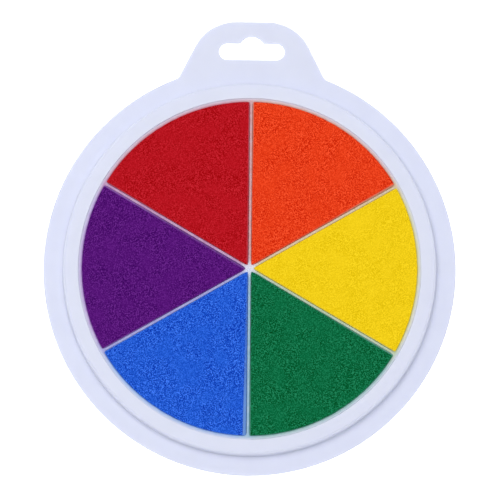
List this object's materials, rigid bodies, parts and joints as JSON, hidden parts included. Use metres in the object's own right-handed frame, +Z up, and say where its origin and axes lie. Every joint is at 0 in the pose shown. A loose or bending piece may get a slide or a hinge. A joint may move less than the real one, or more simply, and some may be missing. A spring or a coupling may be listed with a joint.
{
  "type": "ink pad",
  "caption": "Round ink pad: a shallow white tray divided by spoke ribs into coloured foam wedges, with a hang tab and a lid kept upturned beneath it.",
  "frame": {"origin": "centre of the round part, on the flat face of the upturned lid that rests on the table", "axes": "+Z up, out of the inked faces; +Y from the disc's centre towards the hang tab; +X to the right"},
  "size_m": [0.15, 0.166, 0.0157],
  "materials": {
    "tray_plastic": "satin",
    "lid_plastic": "satin",
    "red_ink_foam": "matte",
    "orange_ink_foam": "matte",
    "yellow_ink_foam": "matte",
    "green_ink_foam": "matte",
    "blue_ink_foam": "matte",
    "purple_ink_foam": "matte",
    "adhesive": "matte"
  },
  "bodies": {
    "lid": {"lid": "lid_plastic"},
    "tray": {"tray": "tray_plastic", "red_pad": "red_ink_foam", "orange_pad": "orange_ink_foam", "yellow_pad": "yellow_ink_foam", "green_pad": "green_ink_foam", "blue_pad": "blue_ink_foam", "purple_pad": "purple_ink_foam", "red_pad_adhesive": "adhesive", "orange_pad_adhesive": "adhesive", "yellow_pad_adhesive": "adhesive", "green_pad_adhesive": "adhesive", "blue_pad_adhesive": "adhesive", "purple_pad_adhesive": "adhesive"}
  },
  "joints": [
    {"name": "tray_lift", "type": "slide", "parent": "lid", "child": "tray", "axis": [0, 0, 1], "range_m": [0, 0.03]}
  ]
}
